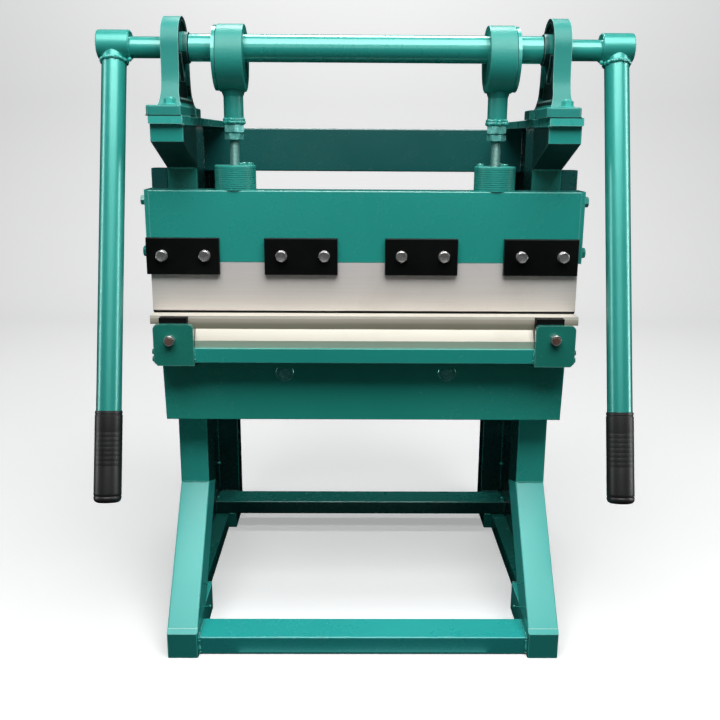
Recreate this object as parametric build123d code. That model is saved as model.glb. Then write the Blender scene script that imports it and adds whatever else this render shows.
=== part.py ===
from build123d import *
import math
import os

os.makedirs("parts", exist_ok=True)

# ---------------------------------------------------------------
# Driving dimensions, mm.
# Working coordinates: X = 0 on the machine's centre plane,
# Y = 0 on the front face of the ram (+Y is the rear), Z = 0 floor.
# ---------------------------------------------------------------

# side frames
FRAME_IN = 238.2          # inner face of the side frame tubes
FRAME_OUT = 282.0         # outer face of the side frame tubes
TUBE_R = 2.5              # rounded edges of the tubes
TUBE_WALL = 4.0
COL_Y0, COL_Y1 = 51.0, 110.0      # column front and rear face
ARM_Y0 = -46.0                    # front end of the top arm
ARM_Z0, ARM_Z1, ARM_ZC = 723.5, 746.5, 688.0
KNEE_Z0, KNEE_Z1 = 211.0, 190.2   # mitre between column and brace
FOOT_Y0, FOOT_Y1, FOOT_ZF, FOOT_Z = -101.0, 42.0, 38.0, 44.0
BRACE_TOE = (FOOT_Y0 + (FOOT_Z - FOOT_ZF) * (COL_Y0 - FOOT_Y0) / (KNEE_Z0 - FOOT_ZF), FOOT_Z)
BRACE_HEEL = (-18.5, FOOT_Z)
WEB_X0, WEB_X1 = 277.0, 282.0     # plate that closes the side, flush with the outside
SILL_X0, SILL_Z = 253.0, 28.0     # tube along the floor between the front foot and the rear
REAR_FOOT_Y0 = 342.0
RCOL_Y0, RCOL_Y1 = 396.0, 440.0
RTUBE_Z1 = 53.0                   # the rear cross tube lies on the sills, in front of the rear columns
TPL_Y0, TPL_T = -53.0, 10.5
FTUBE_Y0, FTUBE_Y1, FTUBE_Z = -92.0, -39.0, 28.0
XBEAM_Z0, XBEAM_Z1 = 673.6, 746.0
GUIDE_OUT, GUIDE_Z0, GUIDE_Z1, GUIDE_Y1 = 304.5, 548.0, 687.0, 76.0

# crankshaft
CR_Y, CR_Z = 27.0, 847.0
R_OUT, R_MID = 14.0, 18.0
ECC = 13.0                # eccentric throw
ECC_R = 33.0              # eccentric disc
RUN = 0.05                # radial running clearance
BRG_X = 258.5
BRG_W = 23.5
BRG_RING_R = 40.0
BASE_X = {"left": 262.3, "right": 256.3}      # the feet sit a little to one side of the web
BASE_W = 46.0
BOSS_X, BOSS_R = 238.6, 20.5      # hub of the bearing on its inner side
SHOULDER_X = 237.6                # end of the thick part of the shaft
HUB_X0, HUB_X1, HUB_R, HUB_DZ = 318.0, 361.0, 19.5, 3.0
LEVER_X, LEVER_R, LEVER_BORE = 340.0, 16.5, 13.0
LEVER_TILT = math.degrees(math.atan2(0.284, 0.959))
GRIP_S0, GRIP_S1, GRIP_R, SPIGOT_R = 490.0, 611.0, 18.0, 13.9

# connecting rods
ROD_X = 181.5
RING_R, RING_W = 43.8, 36.0
LIP_T, LIP_R, LIP_GAP = 4.6, 42.4, 0.6
NECK_Z, ROD_R, ROD_Z0, THREAD_R = 784.0, 13.5, 755.5, 7.0
NUT_Z0, NUT_AF = 736.0, 26.0
LOCK_Z0, LOCK_AF = 726.5, 23.0
STUD_R, HEAD_R, HEAD_Z0, HEAD_Z1 = 7.0, 11.5, 668.0, 680.0
FLANGE_R, FLANGE_Z0, FLANGE_Z1 = 28.8, 659.0, 692.5
SOCKET_R, SOCKET_Z0, SOCKET_Z1, MOUTH_R = 15.0, 662.0, 688.5, 10.6

# ram, punch and clamps
RAM_X, RAM_Y1, RAM_Z0, RAM_Z1 = 299.5, 46.0, 560.0, 659.0
END_T = 4.8
PUNCH_X, PUNCH_T = 300.0, 14.0
PUNCH_Z1, PUNCH_SHOULDER, PUNCH_TIP = 560.0, 491.5, 485.5
BEND_Y = 8.0
CLAMP_T, CLAMP_Z0, CLAMP_Z1 = 8.0, 543.7, 594.6
CLAMPS = [(-304.3, -202.7), (-140.1, -38.1), (28.0, 129.6), (194.0, 298.2)]
CLAMP_BOLTS = [-282.2, -222.8, -116.5, -56.9, 50.8, 110.1, 218.3, 276.4]
CLAMP_BOLT_Z = 570.5

# die, rail and brackets
DIE_X, DIE_Y0, DIE_Y1, DIE_Z0, DIE_Z1 = 299.5, -25.0, 46.0, 443.0, 488.5
DIE_LOW_X, DIE_LIP_Z = 291.0, 476.5      # the die is cut back at its ends below the lip
VEE_HALF, VEE_DEPTH = 10.0, 10.0
LEDGE_Z0, LEDGE_Y, LEDGE_Z1 = 470.0, -38.0, 456.0
BED_Y0, BED_Z0 = -20.0, 412.0
RAIL_Y0, RAIL_Y1, RAIL_Z0, RAIL_Z1 = -42.0, -30.0, 425.0, 446.0
BR_X0, BR_X1, BR_Y0, BR_Z0, BR_Z1, BR_T = 236.5, 292.0, -46.0, 421.5, 480.0, 8.0
BLOCK_Z1 = 487.6
BLOCKS = {"left": (-284.5, -246.5), "right": (238.0, 277.0)}
BEAM_X_TOP, BEAM_X_BOT, BEAM_Z0, BEAM_Z1 = 290.5, 288.5, 329.2, 412.0

# ---------------------------------------------------------------
# Footprint centre: the origin sits on the floor below the centre
# of the bounding box.
# ---------------------------------------------------------------
_t = math.radians(LEVER_TILT)
_tip_c = CR_Y - math.sin(_t) * GRIP_S1
FRONT_Y = _tip_c + 6.0 * math.sin(_t) - (GRIP_R - 6.0) * math.cos(_t) - 6.0
Y_ORIGIN = round((FRONT_Y + RCOL_Y1) / 2, 3)


def box(x0, x1, y0, y1, z0, z1):
    return Pos((x0 + x1) / 2, (y0 + y1) / 2, (z0 + z1) / 2) * Box(abs(x1 - x0), abs(y1 - y0), abs(z1 - z0))


def prism_yz(points, x0, x1):
    """Side profile (Y, Z) pulled from x0 to x1."""
    face = make_face(Polyline(*[(p[0], p[1]) for p in points], close=True))
    return Pos(x0, 0, 0) * extrude(Plane.YZ * face, amount=x1 - x0)


def cyl_x(r, x0, x1, y, z):
    return Pos((x0 + x1) / 2, y, z) * Rot(0, 90, 0) * Cylinder(r, abs(x1 - x0))


def cyl_z(r, z0, z1, x, y):
    return Pos(x, y, (z0 + z1) / 2) * Cylinder(r, abs(z1 - z0))


def hexagon_z(af, z0, z1, x, y):
    body = Pos(x, y, z0) * extrude(RegularPolygon(af / math.sqrt(3), 6), amount=z1 - z0)
    return body


def soften(shape, edges, r):
    """Round the edges if the kernel can, else leave them sharp."""
    try:
        return fillet(edges, r)
    except Exception:
        return shape


def one(shape):
    s = shape.solids()
    return s[0] if len(s) == 1 else Compound(children=list(s))


def save(node, shape):
    placed = Pos(0, -Y_ORIGIN, 0) * one(shape)
    export_step(placed, os.path.join("parts", node + ".step"))
    bb = placed.bounding_box()
    print("%-24s solids %d  x %.1f..%.1f  y %.1f..%.1f  z %.1f..%.1f" % (
        node, len(placed.solids()), bb.min.X, bb.max.X, bb.min.Y, bb.max.Y, bb.min.Z, bb.max.Z))


def save_pair(name, shape):
    """The shape is built on the right (+X); the left one is its mirror image."""
    save("right_" + name, shape)
    save("left_" + name, mirror(shape, about=Plane.YZ))


# ---------------------------------------------------------------
# Side frames
# ---------------------------------------------------------------
foot = prism_yz([(FOOT_Y0, 0), (FOOT_Y0, FOOT_ZF), BRACE_TOE, (FOOT_Y1, FOOT_Z), (FOOT_Y1, 0)], FRAME_IN, FRAME_OUT)
foot = soften(foot, foot.edges().filter_by(Axis.Z), TUBE_R)
save_pair("front_foot", foot)

brace = prism_yz([BRACE_TOE, (COL_Y0, KNEE_Z0), (COL_Y1, KNEE_Z1), BRACE_HEEL], FRAME_IN, FRAME_OUT)
_long = [e for e in brace.edges() if e.length > 150 and abs(e.center().X - (FRAME_IN + FRAME_OUT) / 2) > 15]
brace = soften(brace, _long, TUBE_R)
save_pair("brace", brace)

column = prism_yz([(COL_Y0, KNEE_Z0), (COL_Y0, ARM_Z1), (COL_Y1, ARM_Z1), (COL_Y1, KNEE_Z1)], FRAME_IN, FRAME_OUT)
column = soften(column, column.edges().filter_by(Axis.Z), TUBE_R)
save_pair("column", column)

arm = prism_yz([(ARM_Y0, ARM_Z0), (ARM_Y0, ARM_Z1), (COL_Y0, ARM_Z1), (COL_Y0, ARM_ZC)], FRAME_IN, FRAME_OUT)
arm = soften(arm, [e for e in arm.edges() if abs(e.center().Y - ARM_Y0) < 0.1 or (e.length > 80 and e.center().Z < 735)], 1.5)
save_pair("top_arm", arm)

web = prism_yz([BRACE_HEEL, (COL_Y1, KNEE_Z1), (COL_Y1, ARM_Z1), (RCOL_Y0, ARM_Z1), (RCOL_Y0, SILL_Z),
                (FOOT_Y1, SILL_Z), (FOOT_Y1, FOOT_Z)], WEB_X0, WEB_X1)
save_pair("web_plate", web)

sill = box(SILL_X0, FRAME_OUT, FOOT_Y1, RCOL_Y1, 0, SILL_Z) + box(FRAME_IN, FRAME_OUT, REAR_FOOT_Y0, RCOL_Y1, 0, SILL_Z)
sill = soften(sill, sill.edges().filter_by(Axis.Y), 2.0)
save_pair("sill", sill)

rcol = box(FRAME_IN, FRAME_OUT, RCOL_Y0, RCOL_Y1, SILL_Z, ARM_Z1)
rcol = soften(rcol, rcol.edges().filter_by(Axis.Z), TUBE_R)
save_pair("rear_column", rcol)

tplate = box(FRAME_IN - 0.5, FRAME_OUT + 0.5, TPL_Y0, RCOL_Y1, ARM_Z1, ARM_Z1 + TPL_T)
tplate = soften(tplate, tplate.edges().filter_by(Axis.Z) + tplate.edges().filter_by(Axis.Y).sort_by(Axis.Z)[-2:], 1.2)
save_pair("top_plate", tplate)

guide = box(FRAME_OUT, GUIDE_OUT, COL_Y0, GUIDE_Y1, GUIDE_Z0, GUIDE_Z1)
guide = soften(guide, guide.edges().filter_by(Axis.Z).sort_by(Axis.X)[-2:], 1.5)
save_pair("guide_block", guide)

# ---------------------------------------------------------------
# Tall pillow block: ring and flared pedestal on a slotted base
# ---------------------------------------------------------------
BASE_Z0 = ARM_Z1 + TPL_T
BASE_Z1 = BASE_Z0 + 13.0


def pedestal_profile(inset):
    """Side outline: ring blended into two legs that curve out to the base."""
    r = BRG_RING_R - inset
    pts = [(r, CR_Z), (41.0 - inset, CR_Z - 27), (44.0 - inset, CR_Z - 47), (49.5 - inset, CR_Z - 62),
           (58.0 - 1.5 * inset, BASE_Z1 - 1.0 + inset * 0.6)]
    with BuildSketch(Plane.YZ) as sk:
        with BuildLine():
            Line((CR_Y - r, CR_Z), (CR_Y + r, CR_Z))
            Spline([(CR_Y + y, z) for y, z in pts], tangents=[(0, -1.0), (1.0, -0.75)])
            Line((CR_Y + pts[-1][0], pts[-1][1]), (CR_Y - pts[-1][0], pts[-1][1]))
            Spline([(CR_Y - y, z) for y, z in reversed(pts)], tangents=[(1.0, 0.75), (0, 1.0)])
        make_face()
        with Locations((CR_Y, CR_Z)):
            Circle(r)
    return sk.sketch


def pillow_block(base_x):
    """base_x is the middle of the foot; the web stands at BRG_X."""
    side = Pos(BRG_X - 30, 0, 0) * extrude(pedestal_profile(0), amount=60)
    hw = BRG_W / 2
    with BuildSketch(Plane.XZ) as front_sk:
        with BuildLine():
            Line((BRG_X - 17, BASE_Z1 - 1.0), (BRG_X + 17, BASE_Z1 - 1.0))
            Spline([(BRG_X + 17, BASE_Z1 - 1.0), (BRG_X + hw + 1.4, BASE_Z1 + 9), (BRG_X + hw, BASE_Z1 + 20)],
                   tangents=[(-0.7, 0.7), (0, 1)])
            Line((BRG_X + hw, BASE_Z1 + 20), (BRG_X + hw, CR_Z + 45))
            Line((BRG_X + hw, CR_Z + 45), (BRG_X - hw, CR_Z + 45))
            Line((BRG_X - hw, CR_Z + 45), (BRG_X - hw, BASE_Z1 + 20))
            Spline([(BRG_X - hw, BASE_Z1 + 20), (BRG_X - hw - 1.4, BASE_Z1 + 9), (BRG_X - 17, BASE_Z1 - 1.0)],
                   tangents=[(0, -1), (-0.7, -0.7)])
        make_face()
    front = Pos(0, CR_Y + 90, 0) * extrude(front_sk.sketch, amount=180)
    pedestal = side & front
    x0, x1 = base_x - BASE_W / 2, base_x + BASE_W / 2
    base = box(x0, x1, TPL_Y0, CR_Y + 80.5, BASE_Z0, BASE_Z1)
    base = soften(base, base.edges().filter_by(Axis.Z), 6.0)
    base = soften(base, [e for e in base.edges() if e.center().Z > BASE_Z1 - 0.1], 2.5)
    # the foot is waisted between its two bolt pads and relieved underneath
    waist = box(BRG_X + 17, x1 + 5, CR_Y - 10, CR_Y + 38, BASE_Z0 - 1, BASE_Z1 + 1)
    waist = waist + box(x0 - 5, BRG_X - 17, CR_Y - 10, CR_Y + 38, BASE_Z0 - 1, BASE_Z1 + 1)
    relief = box(x0 - 5, x1 + 5, CR_Y - 10, CR_Y + 38, BASE_Z0 - 1, BASE_Z0 + 3.0)
    body = base - waist - relief + pedestal
    # recessed cheeks on both sides; the boss and a V shaped rib below it are left standing
    pocket = extrude(pedestal_profile(5.5), amount=6.5)
    boss = cyl_x(BOSS_R, -1, 8, CR_Y, CR_Z)
    vee = prism_yz([(CR_Y - 21, CR_Z - 8), (CR_Y + 21, CR_Z - 8), (CR_Y, CR_Z - 44)], -1, 8)
    vee_in = prism_yz([(CR_Y - 16, CR_Z - 11), (CR_Y + 16, CR_Z - 11), (CR_Y, CR_Z - 38.5)], -2, 9)
    rib = Pos(1.5, 0, 0) * (vee - vee_in)
    inner = pocket - boss - rib
    outer = pocket - boss - Pos(-3.0, 0, 0) * (vee - vee_in)
    body = body - Pos(BRG_X - hw - 1.0, 0, 0) * inner - Pos(BRG_X + hw - 5.5, 0, 0) * outer
    hub_in = cyl_x(BOSS_R, BOSS_X, BRG_X, CR_Y, CR_Z)
    hub_in = soften(hub_in, hub_in.edges().filter_by(GeomType.CIRCLE).sort_by(Axis.X)[:1], 1.2)
    body = body + hub_in
    return body - cyl_x(R_OUT + RUN, BRG_X - 40, BRG_X + 40, CR_Y, CR_Z)


save("right_bearing", pillow_block(BASE_X["right"]))
save("left_bearing", mirror(pillow_block(BASE_X["left"]), about=Plane.YZ))

# ---------------------------------------------------------------
# Cross members
# ---------------------------------------------------------------
ft = box(-FRAME_IN, FRAME_IN, FTUBE_Y0, FTUBE_Y1, 0, FTUBE_Z)
ft = soften(ft, ft.edges().filter_by(Axis.X), TUBE_R)
save("front_cross_tube", ft)
rt = box(-WEB_X0, WEB_X0, REAR_FOOT_Y0, RCOL_Y0, SILL_Z, RTUBE_Z1)
rt = soften(rt, rt.edges().filter_by(Axis.X), TUBE_R)
save("rear_cross_tube", rt)
xb = box(-WEB_X0, WEB_X0, REAR_FOOT_Y0, RCOL_Y0, XBEAM_Z0, XBEAM_Z1)
xb = soften(xb, xb.edges().filter_by(Axis.X), TUBE_R)
save("rear_crossbeam", xb)

# ---------------------------------------------------------------
# Lower beam, bed, die, rail, brackets and end blocks
# ---------------------------------------------------------------
with BuildSketch(Plane.XZ) as _lb:
    with BuildLine():
        Polyline((-BEAM_X_BOT, BEAM_Z0), (BEAM_X_BOT, BEAM_Z0), (BEAM_X_TOP, BEAM_Z1), (-BEAM_X_TOP, BEAM_Z1), close=True)
    make_face()
lbeam = Pos(0, COL_Y0, 0) * extrude(_lb.sketch, amount=COL_Y0)
lbeam = soften(lbeam, [e for e in lbeam.edges() if e.center().Y < 0.1], 1.2)
save("lower_beam", lbeam)
save("die_bed", box(-BR_X0, BR_X0, BED_Y0, COL_Y0, BED_Z0, DIE_Z0))
vee = prism_yz([(BEND_Y - VEE_HALF, DIE_Z1), (BEND_Y, DIE_Z1 - VEE_DEPTH), (BEND_Y + VEE_HALF, DIE_Z1),
                (BEND_Y + VEE_HALF, DIE_Z1 + 5), (BEND_Y - VEE_HALF, DIE_Z1 + 5)], -310, 310)
die = box(-DIE_X, DIE_X, DIE_Y0, DIE_Y1, DIE_Z0, DIE_Z1) - vee
for s in (-1, 1):
    die = die - box(s * DIE_LOW_X, s * (DIE_X + 5), DIE_Y0 - 5, DIE_Y1 + 5, DIE_Z0 - 5, DIE_LIP_Z)
ledge = prism_yz([(DIE_Y0, LEDGE_Z0), (LEDGE_Y, LEDGE_Z1), (LEDGE_Y, RAIL_Z1), (RAIL_Y1 + 4, RAIL_Z1),
                  (RAIL_Y1 + 4, DIE_Z0), (DIE_Y0, DIE_Z0)], -BR_X0 + 0.5, BR_X0 - 0.5)
save("v_die", die + ledge)
rail = box(-BR_X0, BR_X0, RAIL_Y0, RAIL_Y1, RAIL_Z0, RAIL_Z1)
rail = soften(rail, rail.edges().filter_by(Axis.X).sort_by(Axis.Y)[:2], 1.2)
save("front_rail", rail)

with BuildSketch(Plane.XZ) as _br:
    with BuildLine():
        Polyline((BR_X0, BR_Z0), (BR_X1 - 5, BR_Z0), (BR_X1, BR_Z0 + 5), (BR_X1, BR_Z1), (BR_X0, BR_Z1), close=True)
    make_face()
    fillet(_br.vertices().group_by(Axis.Y)[-1], 7.0)
bracket = Pos(0, COL_Y0, 0) * extrude(_br.sketch, amount=COL_Y0 - BR_Y0)
bracket = bracket - box(BR_X0 - 5, BR_X1 + 5, BR_Y0 + BR_T, COL_Y0 + 1, DIE_Z0, BR_Z1 + 5)
bracket = bracket - box(BR_X0 - 5, BR_X1 + 5, 0, COL_Y0 + 1, BR_Z0 - 1, BR_Z0 + 0.5)
save_pair("bracket", bracket)
for _side, (_a, _b) in BLOCKS.items():
    save(_side + "_die_block", box(_a, _b, BR_Y0 + BR_T, DIE_Y0, DIE_Z0, BLOCK_Z1))

# ---------------------------------------------------------------
# Crankshaft, thick between the bearings, with two eccentric discs (thrown down at rest)
# ---------------------------------------------------------------
shaft = cyl_x(R_OUT, -HUB_X1 + 1.5, HUB_X1 - 1.5, CR_Y, CR_Z)
shaft = soften(shaft, shaft.edges(), 1.0)
shaft = shaft + cyl_x(R_MID, -SHOULDER_X, SHOULDER_X, CR_Y, CR_Z)
for s in (-1, 1):
    shaft = shaft + cyl_x(ECC_R, s * (ROD_X - RING_W / 2), s * (ROD_X + RING_W / 2 + LIP_GAP), CR_Y, CR_Z - ECC)
    shaft = shaft + cyl_x(LIP_R, s * (ROD_X + RING_W / 2 + LIP_GAP), s * (ROD_X + RING_W / 2 + LIP_GAP + LIP_T),
                          CR_Y, CR_Z - ECC)
save("crank_shaft", shaft)

# ---------------------------------------------------------------
# Levers: hub and tube welded in one, with a grip sleeve at the end
# ---------------------------------------------------------------
LEVER_FRAME = Pos(0, CR_Y, CR_Z) * Rot(-LEVER_TILT, 0, 0)


def along_lever(r, s0, s1, x):
    return LEVER_FRAME * Pos(x, 0, -(s0 + s1) / 2) * Cylinder(r, s1 - s0)


hub = cyl_x(HUB_R, HUB_X0, HUB_X1, CR_Y, CR_Z + HUB_DZ)
hub = soften(hub, hub.edges().filter_by(GeomType.CIRCLE), 1.5)
lever = hub + along_lever(LEVER_R, 5, GRIP_S0, LEVER_X) + along_lever(SPIGOT_R, GRIP_S0 - 1, GRIP_S1 - 9, LEVER_X)
lever = lever - along_lever(LEVER_BORE - 2.0, 30, GRIP_S1 + 5, LEVER_X)
lever = lever - cyl_x(R_OUT, HUB_X0 - 5, HUB_X1 + 5, CR_Y, CR_Z)
save_pair("lever", lever)

grip = Cylinder(GRIP_R, GRIP_S1 - GRIP_S0)
grip = soften(grip, grip.edges().filter_by(GeomType.CIRCLE).sort_by(Axis.Z)[:1], 6.0)
grip = soften(grip, grip.edges().filter_by(GeomType.CIRCLE).sort_by(Axis.Z)[-1:], 1.5)
grip = LEVER_FRAME * Pos(LEVER_X, 0, -(GRIP_S0 + GRIP_S1) / 2) * grip
grip = grip - along_lever(SPIGOT_R, GRIP_S0 - 1, GRIP_S1 - 9, LEVER_X)
save_pair("grip", grip)

# ---------------------------------------------------------------
# Connecting rods and their adjusting screws
# ---------------------------------------------------------------
EZ = CR_Z - ECC
ring = cyl_x(RING_R, ROD_X - RING_W / 2, ROD_X + RING_W / 2, CR_Y, EZ)
ring = soften(ring, ring.edges().filter_by(GeomType.CIRCLE), 1.2)
shank = cyl_z(ROD_R, ROD_Z0 - 8.0, EZ, ROD_X, CR_Y)
neck = Pos(ROD_X, CR_Y, NECK_Z + 6) * Cone(ROD_R, 18.0, 12)
conrod = ring + shank + neck
conrod = conrod - cyl_x(ECC_R + RUN, ROD_X - RING_W, ROD_X + RING_W, CR_Y, EZ)
conrod = conrod - cyl_z(THREAD_R, ROD_Z0 - 10, ROD_Z0 + 20, ROD_X, CR_Y)
save_pair("connecting_rod", conrod)

screw = cyl_z(THREAD_R, NUT_Z0, ROD_Z0 + 16, ROD_X, CR_Y)
screw = screw + hexagon_z(NUT_AF, NUT_Z0, ROD_Z0 - 8.0, ROD_X, CR_Y)
screw = screw + hexagon_z(LOCK_AF, LOCK_Z0, NUT_Z0, ROD_X, CR_Y)
screw = screw + cyl_z(STUD_R, HEAD_Z0 + 2, NUT_Z0, ROD_X, CR_Y)
head = cyl_z(HEAD_R, HEAD_Z0, HEAD_Z1, ROD_X, CR_Y)
head = soften(head, head.edges().filter_by(GeomType.CIRCLE), 1.5)
screw = screw + head
save_pair("adjusting_screw", screw)

# ---------------------------------------------------------------
# Ram, flanges, punch and clamp plates
# ---------------------------------------------------------------
ram = box(-RAM_X, RAM_X, 0, RAM_Y1, RAM_Z0, RAM_Z1)
ram = soften(ram, ram.edges().filter_by(Axis.X).sort_by(Axis.Y)[:2], 1.5)
for s in (-1, 1):
    ram = ram + box(s * (RAM_X - 1), s * (RAM_X + END_T), -0.8, RAM_Y1, RAM_Z0, RAM_Z1 + 0.8)
save("ram_beam", ram)

flange = cyl_z(FLANGE_R, FLANGE_Z0 + 0.8, FLANGE_Z1, ROD_X, CR_Y)
flange = soften(flange, flange.edges().filter_by(GeomType.CIRCLE).sort_by(Axis.Z)[-1:], 1.2)
flange = flange + cyl_z(FLANGE_R, FLANGE_Z0, FLANGE_Z0 + 1.6, ROD_X, CR_Y)
flange = flange - cyl_z(SOCKET_R, SOCKET_Z0, SOCKET_Z1, ROD_X, CR_Y)
flange = flange - cyl_z(MOUTH_R, SOCKET_Z1 - 1, FLANGE_Z1 + 1, ROD_X, CR_Y)
save_pair("ram_flange", flange)

punch = prism_yz([(0, PUNCH_Z1), (PUNCH_T, PUNCH_Z1), (PUNCH_T, PUNCH_SHOULDER), (BEND_Y + 0.6, PUNCH_TIP),
                  (BEND_Y - 0.6, PUNCH_TIP), (0, PUNCH_SHOULDER)], -PUNCH_X, PUNCH_X)
save("punch", punch)

clamps = []
for a, b in CLAMPS:
    c = box(a, b, -CLAMP_T, -0.8 if abs(a) > 299 or abs(b) > 299 else 0, CLAMP_Z0, CLAMP_Z1)
    c = soften(c, [e for e in c.edges() if e.center().Y < -CLAMP_T + 0.1], 1.0)
    clamps.append(c.solids()[0])
save("punch_clamps", Compound(children=clamps))

print("Y_ORIGIN", Y_ORIGIN, "front", round(FRONT_Y, 3))
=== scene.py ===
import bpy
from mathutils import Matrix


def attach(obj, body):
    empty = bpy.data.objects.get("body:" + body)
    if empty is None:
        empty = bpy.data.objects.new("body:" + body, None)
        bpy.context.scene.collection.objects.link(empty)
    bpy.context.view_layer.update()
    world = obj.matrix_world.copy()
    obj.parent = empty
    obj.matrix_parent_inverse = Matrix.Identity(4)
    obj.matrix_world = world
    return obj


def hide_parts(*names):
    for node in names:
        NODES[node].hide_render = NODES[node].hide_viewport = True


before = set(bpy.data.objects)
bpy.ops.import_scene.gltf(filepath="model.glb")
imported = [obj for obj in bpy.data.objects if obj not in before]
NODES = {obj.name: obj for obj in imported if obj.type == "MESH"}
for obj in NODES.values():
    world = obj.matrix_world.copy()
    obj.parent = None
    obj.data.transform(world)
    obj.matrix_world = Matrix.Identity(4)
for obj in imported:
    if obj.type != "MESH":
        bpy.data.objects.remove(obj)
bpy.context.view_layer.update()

import bpy
import bmesh
import math
import random
from mathutils import Matrix, Vector

Y0 = 138.851              # mm from the ram's front face to the row origin
RND = random.Random(7)


def P(x, y, z):
    """A point in the working coordinates of the CAD source, mm, as metres in the row frame."""
    return Vector((x / 1000.0, (y - Y0) / 1000.0, z / 1000.0))


# ---------------------------------------------------------------
# Materials
# ---------------------------------------------------------------
def srgb(r, g, b):
    def lin(c):
        c /= 255.0
        return c / 12.92 if c <= 0.04045 else ((c + 0.055) / 1.055) ** 2.4
    return (lin(r), lin(g), lin(b), 1.0)


class Mat:
    def __init__(self, name):
        self.m = bpy.data.materials.new(name)
        self.m.use_nodes = True
        self.nt = self.m.node_tree
        self.bsdf = self.nt.nodes["Principled BSDF"]
        self.tc = self.nt.nodes.new("ShaderNodeTexCoord")

    def set(self, **kw):
        for k, v in kw.items():
            self.bsdf.inputs[k.replace("_", " ")].default_value = v

    def link(self, a, b):
        self.nt.links.new(a, b)

    def mapping(self, scale=(1, 1, 1), rot=(0, 0, 0)):
        n = self.nt.nodes.new("ShaderNodeMapping")
        n.inputs["Scale"].default_value = scale
        n.inputs["Rotation"].default_value = rot
        self.link(self.tc.outputs["Object"], n.inputs["Vector"])
        return n.outputs["Vector"]

    def noise(self, scale, detail=3.0, rough=0.55, vec=None, distortion=0.0):
        n = self.nt.nodes.new("ShaderNodeTexNoise")
        n.inputs["Scale"].default_value = scale
        n.inputs["Detail"].default_value = detail
        n.inputs["Roughness"].default_value = rough
        n.inputs["Distortion"].default_value = distortion
        self.link(vec if vec is not None else self.tc.outputs["Object"], n.inputs["Vector"])
        return n.outputs["Fac"]

    def ramp(self, fac, stops):
        n = self.nt.nodes.new("ShaderNodeValToRGB")
        el = n.color_ramp.elements
        while len(el) < len(stops):
            el.new(0.5)
        for e, (p, c) in zip(el, stops):
            e.position = p
            e.color = c if len(c) == 4 else (*c, 1.0)
        self.link(fac, n.inputs["Fac"])
        return n.outputs["Color"]

    def rng(self, fac, a, b, c, d):
        n = self.nt.nodes.new("ShaderNodeMapRange")
        for k, v in zip(("From Min", "From Max", "To Min", "To Max"), (a, b, c, d)):
            n.inputs[k].default_value = v
        self.link(fac, n.inputs["Value"])
        return n.outputs["Result"]

    def mix(self, fac, a, b, mode="MIX"):
        n = self.nt.nodes.new("ShaderNodeMix")
        n.data_type = "RGBA"
        n.blend_type = mode
        if isinstance(fac, float):
            n.inputs[0].default_value = fac
        else:
            self.link(fac, n.inputs[0])
        for sock, v in ((n.inputs[6], a), (n.inputs[7], b)):
            if isinstance(v, tuple):
                sock.default_value = v
            else:
                self.link(v, sock)
        return n.outputs[2]

    def math(self, op, a, b=None):
        n = self.nt.nodes.new("ShaderNodeMath")
        n.operation = op
        for i, v in enumerate((a, b)):
            if v is None:
                continue
            if isinstance(v, (int, float)):
                n.inputs[i].default_value = v
            else:
                self.link(v, n.inputs[i])
        return n.outputs[0]

    def bump(self, height, strength=0.2, dist=0.001, prev=None):
        n = self.nt.nodes.new("ShaderNodeBump")
        n.inputs["Strength"].default_value = strength
        n.inputs["Distance"].default_value = dist
        self.link(height, n.inputs["Height"])
        if prev is not None:
            self.link(prev, n.inputs["Normal"])
        return n.outputs["Normal"]

    def to(self, out, name):
        self.link(out, self.bsdf.inputs[name])


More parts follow.
